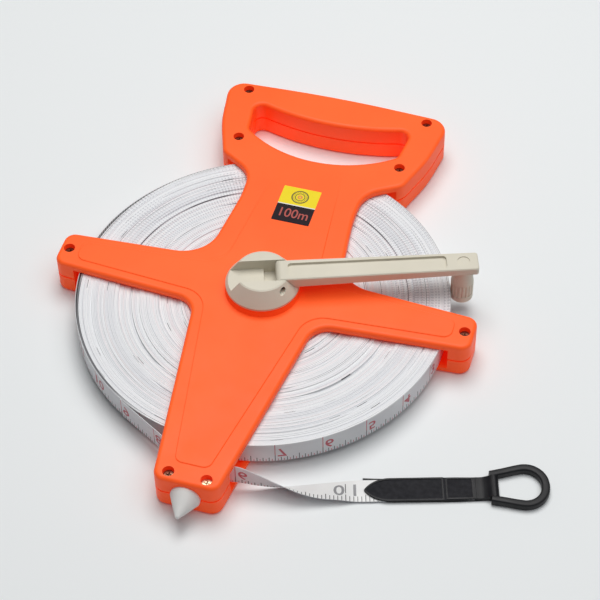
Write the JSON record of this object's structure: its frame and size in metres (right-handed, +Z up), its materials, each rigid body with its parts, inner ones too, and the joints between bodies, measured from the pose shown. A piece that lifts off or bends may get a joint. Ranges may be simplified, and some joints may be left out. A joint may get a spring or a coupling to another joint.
{
  "type": "tape measure",
  "caption": "Open-reel surveyor's tape measure: orange frame with a bow handle and a ground spike, folding crank with a turning knob, and a swinging ring on the tape's free end.",
  "frame": {"origin": "the reel's axis on the plane that the frame lies on", "axes": "+Z up along the reel's axis, +Y towards the handle, +X towards the side where the tape's free end lies"},
  "size_m": [0.287, 0.2981, 0.0368],
  "materials": {
    "orange_shell": "glossy",
    "pale_plastic": "satin",
    "grey_plastic": "matte",
    "plated_screw": "polished",
    "steel_post": "brushed",
    "tape_strip": "glossy",
    "tape_wound": "satin",
    "label_film": "glossy",
    "black_strap": "satin",
    "black_ring": "satin"
  },
  "bodies": {
    "frame": {"upper_shell": "orange_shell", "lower_shell": "orange_shell", "frame_screws": "plated_screw", "ground_spike": "pale_plastic", "tape_guide": "steel_post", "data_label": "label_film", "tape_run": "tape_strip"},
    "reel": {"spool_core": "grey_plastic", "tape_roll": "tape_wound", "tape_anchor": "grey_plastic", "crank_hub": "pale_plastic", "retaining_cap": "pale_plastic", "hub_washer": "steel_post", "hub_screw": "plated_screw", "crank_pin": "steel_post"},
    "crank": {"crank_arm": "pale_plastic", "knob_screw": "plated_screw"},
    "knob": {"knob": "pale_plastic"},
    "tape_end": {"tape_lead": "tape_strip", "end_tab": "black_strap"},
    "ring": {"hook_ring": "black_ring"}
  },
  "joints": [
    {"name": "reel_turn", "type": "hinge", "parent": "frame", "child": "reel", "pos_m": [0, 0, 0.0112], "axis": [0, 0, 1], "range_deg": [-9, 36]},
    {"name": "crank_fold", "type": "hinge", "parent": "reel", "child": "crank", "pos_m": [0.00953, 0.00334, 0.0337], "axis": [0.3305, -0.9438, 0], "range_deg": [0, 180]},
    {"name": "knob_spin", "type": "hinge", "parent": "crank", "child": "knob", "pos_m": [0.10044, 0.03517, 0.021], "axis": [0, 0, 1], "continuous": true},
    {"name": "tape_pull", "type": "slide", "parent": "frame", "child": "tape_end", "axis": [0.9563, 0.2924, 0], "range_m": [-0.016, 0.063], "deforming": ["tape_lead"]},
    {"name": "ring_swing", "type": "hinge", "parent": "tape_end", "child": "ring", "pos_m": [0.14445, -0.0782, 0.00225], "axis": [0.2924, -0.9563, 0], "range_deg": [0, 165]}
  ],
  "couplings": [
    {"joint": "tape_pull", "follows": "reel_turn", "m_per_rad": 0.1}
  ]
}
